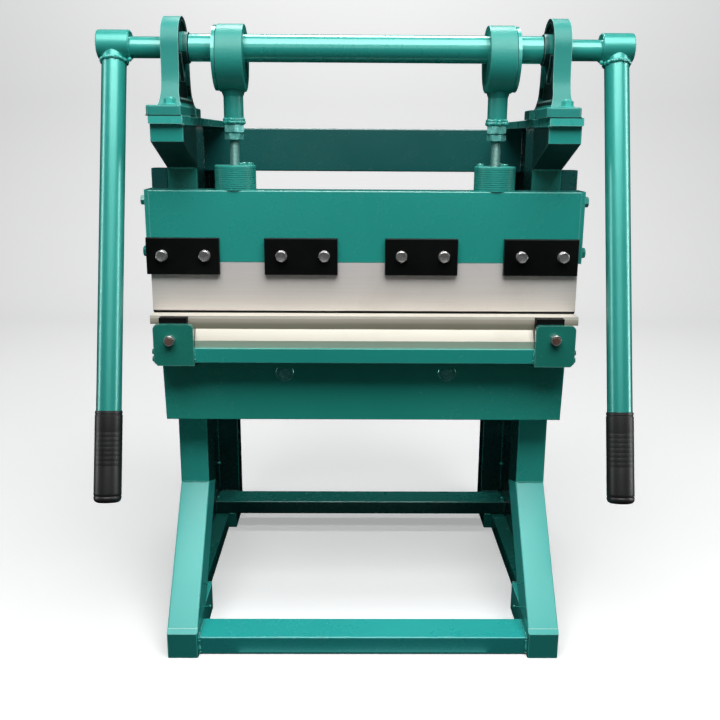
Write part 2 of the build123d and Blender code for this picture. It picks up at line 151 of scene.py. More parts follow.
def paint_material(name, tone, deep, rough=(0.20, 0.30), metallic=0.0, coat=0.6, coat_rough=0.06, peel=0.05, cast=0.0,
                   spec=0.5, shade=0.0, edge=0.0, shade_front=False, shade_above=-1.0, shade_top=0.0,
                   shade_inside=0.0):
    """Enamel: even colour with a slow drift, faint mottling, worn specks, orange peel, and a sand texture on castings.
    shade is painted shade on undersides and inner sides (shade_front, shade_top and shade_inside add fronts, faces
    above a height and the middle), edge is a painted highlight, the pale line at the corners."""
    M = Mat(name)
    M.set(Metallic=metallic, Coat_Weight=coat, Coat_Roughness=coat_rough, Coat_IOR=1.5, IOR=1.5)
    M.bsdf.inputs["Specular IOR Level"].default_value = spec
    drift = M.noise(3.2, 3.0, 0.5)
    base = M.ramp(drift, [(0.25, deep), (0.75, tone)])
    mottle = M.noise(46.0, 4.0, 0.6)
    base = M.mix(M.rng(mottle, 0.35, 0.75, 0.0, 0.16), base, deep)
    speck = M.noise(310.0, 3.0, 0.6)
    base = M.mix(M.rng(speck, 0.74, 0.80, 0.0, 0.45), base, srgb(20, 60, 56))
    if shade:
        nrm = M.nt.nodes.new("ShaderNodeSeparateXYZ")
        pos = M.nt.nodes.new("ShaderNodeSeparateXYZ")
        M.link(M.tc.outputs["Normal"], nrm.inputs[0])
        M.link(M.tc.outputs["Object"], pos.inputs[0])
        inner = M.math("LESS_THAN", M.math("MULTIPLY", nrm.outputs[0], M.math("SIGN", pos.outputs[0])), -0.7)
        under = M.math("LESS_THAN", nrm.outputs[2], -0.3)
        hidden = M.math("MAXIMUM", inner, under)
        if shade_front:
            hidden = M.math("MAXIMUM", hidden, M.math("LESS_THAN", nrm.outputs[1], -0.9))
        if shade_top:
            hidden = M.math("MAXIMUM", hidden, M.rng(pos.outputs[2], shade_top - 0.02, shade_top, 0.0, 0.6))
        if shade_inside:
            inside = M.math("LESS_THAN", M.math("ABSOLUTE", pos.outputs[0]), shade_inside)
            hidden = M.math("MAXIMUM", hidden, M.math("MULTIPLY", inside, 0.6))
        hidden = M.math("MULTIPLY", hidden, M.math("GREATER_THAN", pos.outputs[2], shade_above))
        # painted shade: the hidden faces are mixed towards a near-black teal
        base = M.mix(M.math("MULTIPLY", hidden, shade), base, srgb(4, 22, 22))
    # painted highlight: a pale teal line where the bevelled normal turns at the corners
    if edge:
        bev = M.nt.nodes.new("ShaderNodeBevel")
        bev.samples = 4
        bev.inputs["Radius"].default_value = 0.0016
        geo = M.nt.nodes.new("ShaderNodeNewGeometry")
        dot = M.nt.nodes.new("ShaderNodeVectorMath")
        dot.operation = "DOT_PRODUCT"
        M.link(bev.outputs["Normal"], dot.inputs[0])
        M.link(geo.outputs["Normal"], dot.inputs[1])
        base = M.mix(M.rng(dot.outputs["Value"], 0.995, 0.92, 0.0, edge), base, srgb(190, 244, 236))
    M.to(base, "Base Color")
    M.to(M.math("ADD", M.rng(drift, 0.25, 0.75, rough[0], rough[1]), M.rng(mottle, 0.4, 0.8, 0.0, 0.06)), "Roughness")
    n1 = M.bump(M.noise(520.0, 2.0, 0.5), peel, 0.0003)
    n1 = M.bump(M.noise(34.0, 2.0, 0.4), peel * 0.8, 0.0012, n1)
    if cast:
        n1 = M.bump(M.noise(240.0, 4.0, 0.65), cast, 0.0009, n1)
    M.to(n1, "Normal")
    return M.m


# The teal materials below are copies of one enamel; most are made lighter or darker to paint in how light falls on
# their parts.
TEAL = paint_material("teal_enamel", srgb(44, 172, 160), srgb(36, 158, 146), edge=0.35)
# painted light: a lighter copy for the columns, with painted shade on hidden faces and above the ram
TEAL_COLUMN = paint_material("teal_enamel_column", srgb(56, 190, 176), srgb(48, 174, 160), coat=0.2, spec=0.35, shade=0.9, edge=0.25, shade_top=0.64)
# painted shade on the arms' undersides and inner sides
TEAL_ARM = paint_material("teal_enamel_arm", srgb(44, 172, 160), srgb(36, 158, 146), rough=(0.34, 0.44), coat=0.05, spec=0.15, shade=0.94, edge=0.5)
# painted shade: a slightly darker copy for the bearings, darker still on hidden faces above the base and near the
# middle
TEAL_BEARING = paint_material("teal_enamel_bearing", srgb(42, 158, 148), srgb(32, 142, 132), rough=(0.34, 0.46), coat=0.15,
                              coat_rough=0.30, peel=0.06, cast=0.25, spec=0.3, shade=0.9, edge=0.55, shade_above=0.774,
                              shade_inside=0.2450)
# painted light: a lighter copy for the lit top plates
TEAL_PLATE = paint_material("teal_enamel_plate", srgb(66, 196, 184), srgb(54, 182, 170), edge=0.5)
TEAL_SHAFT = paint_material("teal_enamel_shaft", srgb(54, 182, 170), srgb(46, 168, 156), rough=(0.24, 0.30), coat=0.8,
                            coat_rough=0.12, metallic=0.12, peel=0.02)
# painted light: a lighter copy that lifts the shaded lower beam and die bed
TEAL_LOWER_LIT = paint_material("teal_enamel_lower_lit", srgb(50, 182, 164), srgb(42, 166, 150))
# painted light: a lighter copy for the front tube's lit top, with painted shade on its front and hidden faces
TEAL_FOOT = paint_material("teal_enamel_foot", srgb(52, 196, 190), srgb(44, 182, 176), coat=0.3, shade=0.5, shade_front=True)
# painted shade: a darker copy for the sills, darker on hidden faces
TEAL_SILL = paint_material("teal_enamel_sill", srgb(38, 138, 128), srgb(30, 122, 112), coat=0.2, spec=0.35, shade=0.55)
# painted light: the lit brace tone for the front feet, with painted shade on their fronts and hidden faces
TEAL_BLOCK = paint_material("teal_enamel_block", srgb(64, 214, 204), srgb(56, 200, 190), rough=(0.28, 0.36), coat=0.2, spec=0.4,
                            shade=0.62, shade_front=True, edge=0.3)
# painted shade: a darker copy for the brackets
TEAL_BRACKET = paint_material("teal_enamel_bracket", srgb(38, 140, 124), srgb(32, 126, 112), edge=0.35)
# painted shade: a darker copy for the rear tube, near-black on its front and hidden faces
TEAL_REAR_TUBE = paint_material("teal_enamel_rear_tube", srgb(38, 138, 128), srgb(30, 122, 112), coat=0.2, spec=0.35, shade=0.85,
                                shade_front=True)
# painted light: a lighter copy for the lit brace faces, with painted shade on their inner sides
TEAL_BRACE = paint_material("teal_enamel_brace", srgb(64, 214, 204), srgb(56, 200, 190), rough=(0.28, 0.36), coat=0.2,
                            coat_rough=0.18, edge=0.9, shade=0.35, spec=0.4)
# painted shade: a darker copy for the parts at the rear
TEAL_REAR = paint_material("teal_enamel_rear", srgb(26, 102, 98), srgb(20, 88, 86))
# painted shade: a darker copy for the web plates, near-black on their inner sides
TEAL_SIDE = paint_material("teal_enamel_side", srgb(38, 150, 138), srgb(30, 134, 124), coat=0.4, spec=0.35, shade=0.97)
# painted shade: a darker copy for the rear columns, near-black on their fronts and inner sides
TEAL_REAR_POST = paint_material("teal_enamel_rear_post", srgb(38, 150, 138), srgb(30, 134, 124), coat=0.4, spec=0.35, shade=0.95,
                                shade_front=True)
TEAL_CAST = paint_material("teal_enamel_cast", srgb(44, 166, 154), srgb(34, 150, 138), rough=(0.34, 0.46), coat=0.15,
                           coat_rough=0.30, peel=0.06, cast=0.30, spec=0.35)
TEAL_LEVER = paint_material("teal_enamel_lever", srgb(54, 182, 170), srgb(46, 168, 156), rough=(0.30, 0.38), coat=0.5,
                            coat_rough=0.22, metallic=0.2, peel=0.02)
TEAL_TURNED = paint_material("teal_enamel_turned", srgb(44, 166, 154), srgb(36, 150, 138), rough=(0.36, 0.48), coat=0.15,
                             coat_rough=0.30, peel=0.03, spec=0.35)
# painted light: a lighter copy for the bearing bolts
TEAL_LIT = paint_material("teal_enamel_fastener", srgb(78, 206, 194), srgb(60, 190, 178), rough=(0.24, 0.34), coat=0.5,
                          coat_rough=0.14, peel=0.02)
# painted light: a lighter, glossier copy for the weld beads
TEAL_WELD = paint_material("teal_enamel_weld", srgb(56, 184, 172), srgb(44, 166, 154), rough=(0.2, 0.3), coat=0.8, coat_rough=0.12,
                           peel=0.10)


def steel_material(name, light, dark, rough=(0.32, 0.46), along=(0.35, 60.0, 60.0), amount=0.16, metallic=0.15, bands=None, groove=None):
    """Bare ground steel: fine lay along the part, faint stains and scratches. bands are (height m, tone factor) steps
    of painted light and shade; groove paints a dark shade stripe along the V groove.
    """
    M = Mat(name)
    M.set(Metallic=metallic)
    lay = M.noise(22.0, 6.0, 0.75, M.mapping(along))
    stain = M.noise(9.0, 5.0, 0.6, distortion=0.8)
    base = M.ramp(lay, [(0.25, dark), (0.75, light)])
    base = M.mix(M.rng(stain, 0.5, 0.8, 0.0, 0.22), base, srgb(176, 166, 150))
    # painted light and shade: tone steps by height
    if bands:
        sep = M.nt.nodes.new("ShaderNodeSeparateXYZ")
        wob = M.noise(14.0, 2.0, 0.5, M.mapping((1.0, 0.2, 0.2)))
        M.link(M.tc.outputs["Object"], sep.inputs[0])
        z = M.math("ADD", sep.outputs[2], M.math("MULTIPLY", M.math("SUBTRACT", wob, 0.5), 0.0012))
        lo, hi = bands[0][0], bands[-1][0]
        f = M.rng(z, lo, hi, 0.0, 1.0)
        tone = M.ramp(f, [((h - lo) / (hi - lo), (t[0], t[1], t[2], 1.0)) for h, t in bands])
        base = M.mix(1.0, base, tone, "MULTIPLY")
    # painted shade: a near-black stripe along the V groove
    if groove:
        at = M.nt.nodes.new("ShaderNodeSeparateXYZ")
        M.link(M.tc.outputs["Object"], at.inputs[0])
        off = M.math("ABSOLUTE", M.math("SUBTRACT", at.outputs[1], groove[0]))
        base = M.mix(M.rng(off, groove[1], groove[1] + 0.0004, 0.92, 0.0), base, srgb(14, 12, 11))
    M.to(base, "Base Color")
    M.to(M.rng(lay, 0.2, 0.8, rough[0], rough[1]), "Roughness")
    n1 = M.bump(lay, amount, 0.0004)
    scr = M.noise(160.0, 2.0, 0.5, M.mapping((0.06, 1.0, 1.0), (0.2, 0.1, 0.3)))
    M.to(M.bump(M.rng(scr, 0.62, 0.66, 0.0, 1.0), 0.05, 0.0002, n1), "Normal")
    return M.m


GROOVE = ((8.0 - Y0) / 1000.0, 0.0098)      # painted shade in the V groove: middle and half width
# painted shadow: the near-black band at the punch's lower edge stands in for the gap above the die
PUNCH_STEEL = steel_material("punch_steel", srgb(248, 245, 240), srgb(236, 232, 226),
                             bands=[(0.4840, (0.05, 0.05, 0.05)), (0.4913, (0.05, 0.05, 0.05)), (0.4917, (0.90, 0.87, 0.85)), (0.5000, (0.92, 0.89, 0.87)), (0.5550, (0.90, 0.90, 0.92))])
# the die's bands paint light and shade: a pale lit top strip, a shaded band down the front face, a lit sloped ledge; at
# the foot the bands turn darker and green-grey
DIE_STEEL = steel_material("die_steel", srgb(250, 246, 236), srgb(236, 232, 222),
                           bands=[(0.4430, (0.46, 0.63, 0.55)), (0.4558, (0.50, 0.66, 0.58)), (0.4561, (0.52, 0.51, 0.47)),
                                  (0.4695, (0.70, 0.70, 0.66)), (0.4702, (0.30, 0.31, 0.25)), (0.4770, (0.36, 0.37, 0.31)),
                                  (0.4800, (0.58, 0.56, 0.50)), (0.4842, (0.72, 0.70, 0.64)), (0.4850, (0.98, 0.97, 0.94)),
                                  (0.4885, (0.98, 0.97, 0.94))], groove=GROOVE)
ZINC = steel_material("zinc_fastener", srgb(206, 206, 204), srgb(160, 160, 160), (0.22, 0.34), (8.0, 8.0, 8.0), 0.08, 0.75)
FACE_BROWN = steel_material("aged_face", srgb(120, 92, 80), srgb(84, 60, 52), (0.4, 0.55), (8.0, 8.0, 8.0), 0.2, 0.2)
# pale teal steel, its own tone lifted further as painted light for lit nut facets and bolts in shade
PALE_LIT_NUT = steel_material("pale_lit_nut", srgb(140, 226, 218), srgb(84, 190, 180), (0.20, 0.32), (8.0, 8.0, 8.0), 0.12, 0.35)
THREAD = steel_material("thread_steel", srgb(132, 178, 172), srgb(84, 138, 132), (0.34, 0.46), (30.0, 30.0, 2.0), 0.1, 0.3)


def black_material(name, tone, rough, metallic, grain=500.0, bump=0.15, spec=0.5):
    M = Mat(name)
    M.set(Metallic=metallic)
    M.bsdf.inputs["Specular IOR Level"].default_value = spec
    n = M.noise(7.0, 5.0, 0.65, distortion=0.5)
    hi = tuple(c * 1.7 + 0.001 for c in tone[:3]) + (1.0,)
    base = M.ramp(n, [(0.35, tone), (0.8, hi)])
    scuff = M.noise(120.0, 4.0, 0.7, M.mapping((0.3, 1.0, 1.0)))
    base = M.mix(M.rng(scuff, 0.70, 0.82, 0.0, 0.12), base, srgb(80, 84, 84))
    M.to(base, "Base Color")
    M.to(M.rng(n, 0.3, 0.8, rough[0], rough[1]), "Roughness")
    M.to(M.bump(M.noise(grain, 2.0, 0.5), bump, 0.0003), "Normal")
    return M.m


BLACK_PLATE = black_material("black_oxide", srgb(6, 8, 8), (0.30, 0.42), 0.0, spec=0.2)
BLACK_BLOCK = black_material("black_block", srgb(6, 6, 7), (0.5, 0.65), 0.0, spec=0.15)
RUBBER = black_material("grip_rubber", srgb(27, 28, 29), (0.40, 0.52), 0.0, 700.0, 0.2)

# ---------------------------------------------------------------
# Mesh helpers. Every new piece has its vertices in the row frame.
# ---------------------------------------------------------------


def finish_mesh(name, bm, mat, body, smooth=35.0, bevel=0.0):
    bmesh.ops.recalc_face_normals(bm, faces=bm.faces[:])
    me = bpy.data.meshes.new(name)
    bm.to_mesh(me)
    bm.free()
    ob = bpy.data.objects.new(name, me)
    bpy.context.scene.collection.objects.link(ob)
    me.materials.append(mat)
    if smooth:
        for p in me.polygons:
            p.use_smooth = True
        me.set_sharp_from_angle(angle=math.radians(smooth))
    if bevel:
        md = ob.modifiers.new("edge", "BEVEL")
        md.width = bevel
        md.segments = 2
        md.limit_method = "ANGLE"
        md.angle_limit = math.radians(35)
    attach(ob, body)
    return ob


def ring_verts(bm, centre, ex, ey, radii):
    n = len(radii)
    return [bm.verts.new(centre + (ex * math.cos(2 * math.pi * i / n) + ey * math.sin(2 * math.pi * i / n)) * radii[i])
            for i in range(n)]


def join_rings(bm, a, b):
    n = len(a)
    for i in range(n):
        j = (i + 1) % n
        bm.faces.new((a[i], a[j], b[j], b[i]))


def axes_for(direction):
    d = direction.normalized()
    h = Vector((0, 0, 1)) if abs(d.z) < 0.9 else Vector((0, 1, 0))
    ex = d.cross(h).normalized()
    ey = d.cross(ex).normalized()
    return d, ex, ey


def lathe(bm, base, direction, profile, n=48, spin=0.0):
    """Turned solid: profile is [(height mm, radius mm), ...] from base along direction, closed at both ends."""
    d, ex, ey = axes_for(direction)
    if spin:
        q = Matrix.Rotation(spin, 3, d)
        ex, ey = q @ ex, q @ ey
    last = None
    for h, r in profile:
        ring = ring_verts(bm, base + d * (h / 1000.0), ex, ey, [max(r, 0.01) / 1000.0] * n)
        if last is None:
            bm.faces.new(ring[::-1])
        else:
            join_rings(bm, last, ring)
        last = ring
    bm.faces.new(last)


def hex_head(bm, base, direction, af, height, washer=0.0, washer_r=0.0, spin=0.0, stub=0.0, stub_r=0.0):
    """Hexagon head with the turned chamfer of a real bolt, standing on an optional washer."""
    d, ex, ey = axes_for(direction)
    q = Matrix.Rotation(spin, 3, d)
    ex, ey = q @ ex, q @ ey
    z0 = 0.0
    if washer:
        lathe(bm, base, direction, [(0, washer_r), (washer * 0.7, washer_r), (washer, washer_r - 0.5),
                                    (washer, af * 0.2)], 40)
        z0 = washer
    n = 48
    r_in = af / 2.0
    hexr = [r_in / math.cos(((2 * math.pi * i / n) % (math.pi / 3)) - math.pi / 6) for i in range(n)]
    r0 = r_in * 0.95
    low = [bm.verts.new(base + d * (z0 / 1000) + (ex * math.cos(2 * math.pi * i / n) + ey * math.sin(2 * math.pi * i / n)) * (hexr[i] / 1000))
           for i in range(n)]
    side = [bm.verts.new(base + d * ((z0 + height - (hexr[i] - r0) * 0.55) / 1000)
                         + (ex * math.cos(2 * math.pi * i / n) + ey * math.sin(2 * math.pi * i / n)) * (hexr[i] / 1000))
            for i in range(n)]
    top = [bm.verts.new(base + d * ((z0 + height) / 1000)
                        + (ex * math.cos(2 * math.pi * i / n) + ey * math.sin(2 * math.pi * i / n)) * (r0 / 1000))
           for i in range(n)]
    dish = [bm.verts.new(base + d * ((z0 + height - 0.35) / 1000)
                         + (ex * math.cos(2 * math.pi * i / n) + ey * math.sin(2 * math.pi * i / n)) * (r0 * 0.72 / 1000))
            for i in range(n)]
    bm.faces.new(low[::-1])
    join_rings(bm, low, side)
    join_rings(bm, side, top)
    join_rings(bm, top, dish)
    bm.faces.new(dish)
    if stub:
        lathe(bm, base + d * ((z0 + height - 0.5) / 1000), direction,
              [(0, stub_r), (stub - 0.8, stub_r), (stub, stub_r - 0.8)], 32)


def hex_nut(bm, base, direction, af, height, spin=0.0, bore=0.0):
    """Hexagon nut with turned chamfers at both ends."""
    d, ex, ey = axes_for(direction)
    q = Matrix.Rotation(spin, 3, d)
    ex, ey = q @ ex, q @ ey
    n = 72
    ri = af / 2.0
    ang = [2 * math.pi * i / n for i in range(n)]
    hexr = [ri / math.cos((a % (math.pi / 3)) - math.pi / 6) for a in ang]
    flat = ri * 0.93

    def ring(h, rad):
        return [bm.verts.new(base + d * (h[i] / 1000) + (ex * math.cos(a) + ey * math.sin(a)) * (rad[i] / 1000))
                for i, a in enumerate(ang)]

    cut = [(x - flat) * 0.5 for x in hexr]
    r1 = ring([0.0] * n, [flat] * n)
    r2 = ring(cut, hexr)
    r3 = ring([height - c for c in cut], hexr)
    r4 = ring([height] * n, [flat] * n)
    bm.faces.new(r1[::-1])
    join_rings(bm, r1, r2)
    join_rings(bm, r2, r3)
    join_rings(bm, r3, r4)
    if bore:
        r5 = ring([height] * n, [bore + 0.9] * n)
        r6 = ring([height - 0.9] * n, [bore] * n)
        join_rings(bm, r4, r5)
        join_rings(bm, r5, r6)
        bm.faces.new(r6)
    else:
        bm.faces.new(r4)


def threaded(bm, base, direction, length, r, depth=0.55, pitch=1.75, n=36, per=7):
    """Screw thread: a helical ridge round a rod, run out at both ends."""
    d, ex, ey = axes_for(direction)
    rows = int(length / pitch * per)
    last = None
    for k in range(rows + 1):
        h = length * k / rows
        fade = min(1.0, h / pitch, (length - h) / pitch)
        ring = []
        for i in range(n):
            a = 2 * math.pi * i / n
            w = abs(((h / pitch - i / n) % 1.0) * 2.0 - 1.0)
            rad = r - depth * fade * w - (1.0 - fade) * depth * 0.6
            ring.append(bm.verts.new(base + d * (h / 1000) + (ex * math.cos(a) + ey * math.sin(a)) * (rad / 1000)))
        if last is None:
            bm.faces.new(ring[::-1])
        else:
            join_rings(bm, last, ring)
        last = ring
    bm.faces.new(last)


def bolts(name, places, direction, af, height, mat, body, washer=0.0, washer_r=0.0, stub=0.0, stub_r=0.0):
    bm = bmesh.new()
    for p in places:
        hex_head(bm, p, direction, af, height, washer, washer_r, RND.uniform(0, math.pi / 3), stub, stub_r)
    return finish_mesh(name, bm, mat, body, 28.0)


def weld_bead(bm, pts, r=2.4, pitch=2.6, rough=0.16, n=10, closed=False):
    """A laid bead: overlapping ripples along a path of points in mm (working coordinates)."""
    pts = [P(*p) for p in pts]
    if closed:
        pts = pts + [pts[0]]
    length = sum((b - a).length for a, b in zip(pts, pts[1:]))
    step = pitch / 1000.0 / 5.0
    count = max(6, int(length / step))
    seg = [(a, b, (b - a).length) for a, b in zip(pts, pts[1:])]
    last = None
    ref = None
    phase = 0.0
    for i in range(count + 1):
        s = length * i / count
        for a, b, l in seg:
            if s <= l + 1e-9:
                break
            s -= l
        c = a.lerp(b, min(1.0, s / l))
        d = (b - a).normalized()
        if ref is None or abs(ref.dot(d)) > 0.95:
            ref = Vector((0.31, 0.52, 0.79)).normalized()
        ex = (ref - d * ref.dot(d)).normalized()
        ey = d.cross(ex)
        phase = (i % 5) / 5.0
        rr = r * (0.86 + 0.22 * (1 - phase) ** 2)
        rr *= 1 + rough * math.sin(i * 0.37 + math.sin(i * 0.11) * 2.0)
        end = min(i, count - i)
        if not closed and end < 5:
            rr *= 0.45 + 0.11 * end
        wob = Vector((math.sin(i * 0.23), math.sin(i * 0.19 + 1.0), math.sin(i * 0.29 + 2.0))) * (r * 0.10 / 1000)
        ring = ring_verts(bm, c + wob, ex, ey, [rr / 1000.0] * n)
        if last is None:
            bm.faces.new(ring[::-1])
        else:
            join_rings(bm, last, ring)
        last = ring
    bm.faces.new(last)


def welds(name, paths, mat, body, r=2.4):
    bm = bmesh.new()
    for item in paths:
        pts, rr = (item if isinstance(item, tuple) and isinstance(item[1], (int, float)) and isinstance(item[0], list) else (item, r))
        weld_bead(bm, pts, rr)
    return finish_mesh(name, bm, mat, body, 60.0)


# ---------------------------------------------------------------
# CAD nodes keep their shape and get a finish
# ---------------------------------------------------------------
FINISH = {}
for n in NODES:
    FINISH[n] = TEAL
# the lighter and darker teal copies paint light and shade onto the parts given them
for n in ("lower_beam", "die_bed"):
    FINISH[n] = TEAL_LOWER_LIT
for n in ("rear_crossbeam", "rear_cross_tube", "left_guide_block", "right_guide_block"):
    FINISH[n] = TEAL_REAR
for n in ("left_rear_column", "right_rear_column", "left_web_plate", "right_web_plate", "left_sill", "right_sill"):
    FINISH[n] = TEAL_SIDE
for n in ("left_rear_column", "right_rear_column"):
    FINISH[n] = TEAL_REAR_POST
for n in ("left_sill", "right_sill"):
    FINISH[n] = TEAL_SILL
FINISH["rear_cross_tube"] = TEAL_REAR_TUBE
for n in ("left_bracket", "right_bracket"):
    FINISH[n] = TEAL_BRACKET
for n in ("left_brace", "right_brace"):
    FINISH[n] = TEAL_BRACE
for n in ("left_column", "right_column"):
    FINISH[n] = TEAL_COLUMN
for n in ("left_top_arm", "right_top_arm"):
    FINISH[n] = TEAL_ARM
for n in ("left_top_plate", "right_top_plate"):
    FINISH[n] = TEAL_PLATE
for n in ("left_front_foot", "right_front_foot"):
    FINISH[n] = TEAL_BLOCK
FINISH["front_cross_tube"] = TEAL_FOOT
for n in ("left_connecting_rod", "right_connecting_rod"):
    FINISH[n] = TEAL_CAST
for n in ("left_bearing", "right_bearing"):
    FINISH[n] = TEAL_BEARING
for n in ("left_lever", "right_lever"):
    FINISH[n] = TEAL_LEVER
FINISH["crank_shaft"] = TEAL_SHAFT
FINISH["v_die"] = DIE_STEEL
FINISH["punch"] = PUNCH_STEEL
FINISH["punch_clamps"] = BLACK_PLATE
FINISH["left_die_block"] = FINISH["right_die_block"] = BLACK_BLOCK
FINISH["left_grip"] = FINISH["right_grip"] = RUBBER
for n, ob in NODES.items():
    ob.data.materials.clear()
    ob.data.materials.append(FINISH[n])

# the sharp sheared edges of plates and bars are broken by hand
for n in ("ram_beam", "punch", "v_die", "lower_beam", "die_bed", "left_bracket", "right_bracket", "left_die_block",
          "right_die_block", "left_top_arm", "right_top_arm", "left_front_foot", "right_front_foot", "left_brace",
          "right_brace", "rear_crossbeam", "left_web_plate", "right_web_plate", "left_top_plate", "right_top_plate"):
    md = NODES[n].modifiers.new("edge", "BEVEL")
    md.width = 0.0026 if n.endswith("top_arm") else 0.0006
    md.segments = 2
    md.limit_method = "ANGLE"
    md.angle_limit = math.radians(40)

# ---------------------------------------------------------------
# Fasteners
# ---------------------------------------------------------------
FWD, BACK, UP, DOWN = Vector((0, -1, 0)), Vector((0, 1, 0)), Vector((0, 0, 1)), Vector((0, 0, -1))
CLAMP_BOLTS = [-282.2, -222.8, -116.5, -56.9, 50.8, 110.1, 218.3, 276.4]
bolts("clamp_bolts", [P(x, -8, 570.0) for x in CLAMP_BOLTS], FWD, 14.2, 6.4, ZINC, "ram",
      washer=0.8, washer_r=8.0)


SET_X = {"left": -291.8, "right": 291.8}


def bracket_bolt(side, x, z, spin):
    bm = bmesh.new()
    hex_head(bm, P(x, -46, z), FWD, 13.6, 8.5, 0, 0, spin)
    finish_mesh(side + "_bracket_bolt", bm, ZINC, "frame", 28.0)
    bm = bmesh.new()
    lathe(bm, P(x, -46 - 8.1, z), FWD, [(0, 4.7), (0.5, 4.8), (0.9, 4.3), (0.9, 1.5)], 36)
    finish_mesh(side + "_bracket_bolt_face", bm, FACE_BROWN, "frame", 28.0)
    sx = -1 if side == "left" else 1
    bm = bmesh.new()
    for y, zz in ((-30, 438.4), (-30, 427.8)):
        lathe(bm, P(SET_X[side], y, zz), Vector((sx, 0, 0)),
              [(0, 4.0), (4.2, 4.0), (5.4, 3.2), (5.4, 1.8), (4.2, 1.5), (4.2, 0.2)], 32)
    finish_mesh(side + "_bracket_set_screws", bm, TEAL, "frame", 35.0)


bracket_bolt("left", -268.9, 458.2, math.radians(12))
bracket_bolt("right", 263.6, 461.0, math.radians(30))

# beam bolts take the lifted nut tone, painted light where they sit in the rail's shadow
bm = bmesh.new()
for x, spin in ((-114.6, 0.3), (119.8, 0.8)):
    base = P(x, 0, 401.0)
    lathe(bm, base, FWD, [(0, 12.9), (1.9, 12.9), (2.8, 12.2), (2.8, 10.9), (1.3, 9.9), (1.3, 8.2)], 56)
    hex_head(bm, base + FWD * 0.0012, FWD, 14.0, 6.4, 0, 0, spin)
finish_mesh("beam_bolts", bm, PALE_LIT_NUT, "frame", 28.0)

FOOT_BOLT_X = {"left": -255.8, "right": 262.6}
for s, side in ((-1, "left"), (1, "right")):
    bolts(side + "_ram_end_bolts", [P(s * 304.3, 12, 645), P(s * 304.3, 12, 574)], Vector((s, 0, 0)), 13.0, 5.5, TEAL,
          "ram", washer=1.4, washer_r=8.2)
    bolts(side + "_bearing_bolts", [P(FOOT_BOLT_X[side], -37.5, 770), P(FOOT_BOLT_X[side], 91.0, 770)], UP, 13.6, 6.6,
          TEAL_LIT, "frame", washer=1.8, washer_r=9.4, stub=2.6, stub_r=4.2)
    bolts(side + "_flange_bolts", [P(s * 181.5 + 20.5 * math.cos(a), 27 + 20.5 * math.sin(a), 692.4)
                                   for a in (math.radians(-60), math.radians(60), math.radians(180) if s > 0 else 0.0)],
          UP, 9.0, 3.6, TEAL, "ram")

    # adjusting screw: chamfered nuts, threaded stud and head
    bm = bmesh.new()
    hex_nut(bm, P(s * 181.5, 27, 736.2), UP, 26.0, 11.2, 0.35 * s)
    hex_nut(bm, P(s * 181.5, 27, 726.5), UP, 23.0, 9.4, 0.9 * s)
    nuts = finish_mesh(side + "_screw_nuts", bm, PALE_LIT_NUT, side + "_rod", 28.0)
    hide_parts(side + "_adjusting_screw")
    bm = bmesh.new()
    threaded(bm, P(s * 181.5, 27, 679.0), UP, 48.0, 7.0)
    lathe(bm, P(s * 181.5, 27, 668.0), UP, [(0, 10.2), (1.3, 11.5), (10.7, 11.5), (12.0, 10.2), (12.0, 6.0)], 48)
    finish_mesh(side + "_screw_stud", bm, THREAD, side + "_rod", 40.0)

    # turned flange with its tool marks, bored for the stud head
    outer = [(0, 28.8), (1.6, 28.8), (1.9, 28.2), (2.7, 28.2), (3.0, 28.8)]
    h = 4.6
    while h < 30.5:
        outer += [(h, 28.8), (h + 0.45, 28.2), (h + 0.9, 28.2), (h + 1.3, 28.8)]
        h += 2.9
    outer += [(32.3, 28.8), (33.5, 27.6), (33.5, 11.4), (32.7, 10.6), (29.5, 10.6), (29.5, 15.0), (3.0, 15.0)]
    bm = bmesh.new()
    lathe(bm, P(s * 181.5, 27, 659.0), UP, outer, 96)
    fl = finish_mesh(side + "_flange_turned", bm, TEAL_TURNED, "ram", 25.0)
    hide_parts(side + "_ram_flange")

    # grip sleeve: collar at the top, shallow ribs, rounded end
    t = math.atan2(0.284, 0.959)
    axis = Vector((0, -math.sin(t), -math.cos(t)))
    g0 = P(s * 340, 27, 847) + axis * 0.490
    prof = [(0.0, 16.8), (0.5, 17.6), (3.6, 17.8), (4.2, 17.2), (5.4, 17.2), (6.0, 17.9)]
    for k in range(8):
        h = 27.0 + 6.3 * k
        prof += [(h, 17.95), (h + 0.7, 17.84), (h + 1.3, 17.84), (h + 2.0, 17.95)]
    prof += [(108.0, 18.0), (111.0, 18.0), (111.6, 17.5), (112.8, 17.5), (113.4, 18.0), (115.0, 18.0)]
    prof += [(115 + 6 * math.sin(math.radians(a)), 12 + 6 * math.cos(math.radians(a))) for a in range(15, 91, 15)]
    prof += [(121.0, 4.0)]
    bm = bmesh.new()
    lathe(bm, g0, axis, prof, 72)
    gr = finish_mesh(side + "_grip_sleeve", bm, RUBBER, "crankshaft", 40.0)
    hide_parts(side + "_grip")

# ---------------------------------------------------------------
# Weld seams
# ---------------------------------------------------------------


def blob(bm, x, y, z, r):
    """A drop of weld metal, a little out of round."""
    base = P(x, y, z)
    rows, n = 8, 16
    last = None
    for i in range(1, rows):
        a = math.pi * i / rows
        k = 1 + 0.12 * math.sin(5 * a + x * 0.1)
        ring = [bm.verts.new(base + Vector((math.sin(a) * math.cos(2 * math.pi * j / n) * r * k,
                                            math.sin(a) * math.sin(2 * math.pi * j / n) * r * (2 - k),
                                            math.cos(a) * r)) / 1000.0) for j in range(n)]
        if last is None:
            bm.faces.new(ring[::-1])
        else:
            join_rings(bm, last, ring)
        last = ring
    bm.faces.new(last)


def circle_path(c, r, axis, n=40):
    out = []
    for i in range(n):
        a = 2 * math.pi * i / n
        if axis == "x":
            out.append((c[0], c[1] + r * math.cos(a), c[2] + r * math.sin(a)))
        else:
            out.append((c[0] + r * math.cos(a), c[1] + r * math.sin(a), c[2]))
    return out


